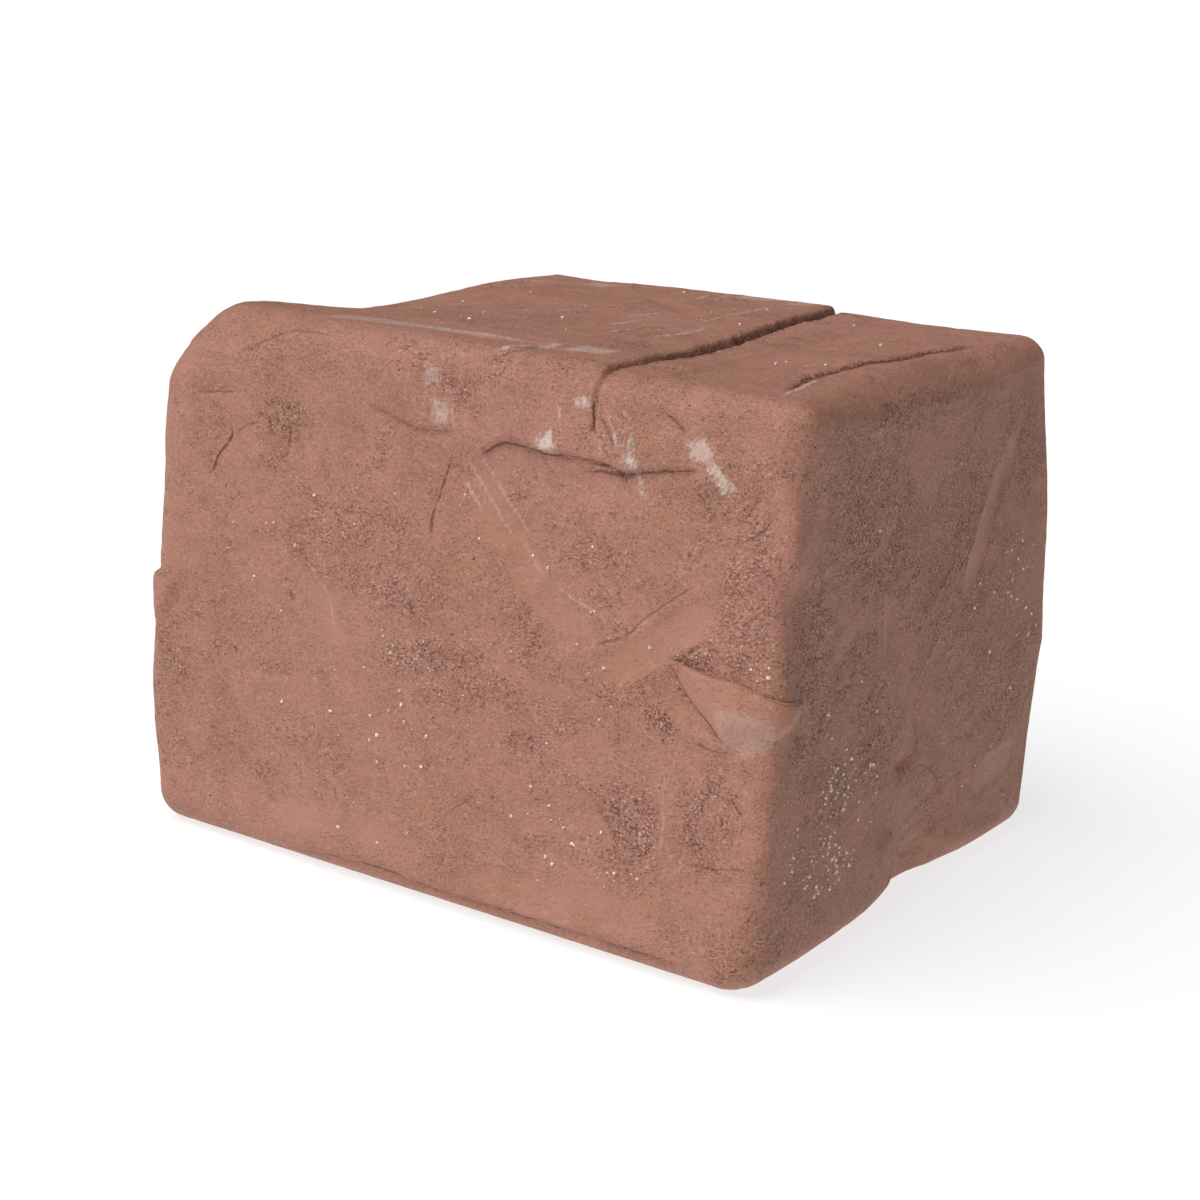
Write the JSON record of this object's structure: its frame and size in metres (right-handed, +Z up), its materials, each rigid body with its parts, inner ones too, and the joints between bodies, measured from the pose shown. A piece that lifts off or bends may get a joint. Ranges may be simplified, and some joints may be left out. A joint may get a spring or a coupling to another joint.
{
  "type": "block of moist pottery clay",
  "caption": "Rectangular block of moist terracotta pottery clay with slumped corners, a step and groove across the top and a lapped flap.",
  "frame": {"origin": "middle of the footprint, on the surface the block rests on", "axes": "+X along the wide front face to the right, +Y from the front face to the back, +Z up; the wide front face looks along -Y"},
  "size_m": [0.2156, 0.192, 0.1591],
  "materials": {
    "clay_body": "moist unfired terracotta, matte and granular with smooth pressed bands",
    "clay_smooth": "moist unfired terracotta, smeared smooth with a slight sheen",
    "grit": "pale dry grit grains"
  },
  "bodies": {
    "root": {"clay_block": "clay_body", "lapped_flap": "clay_smooth", "grit_grains": "grit"}
  },
  "joints": []
}
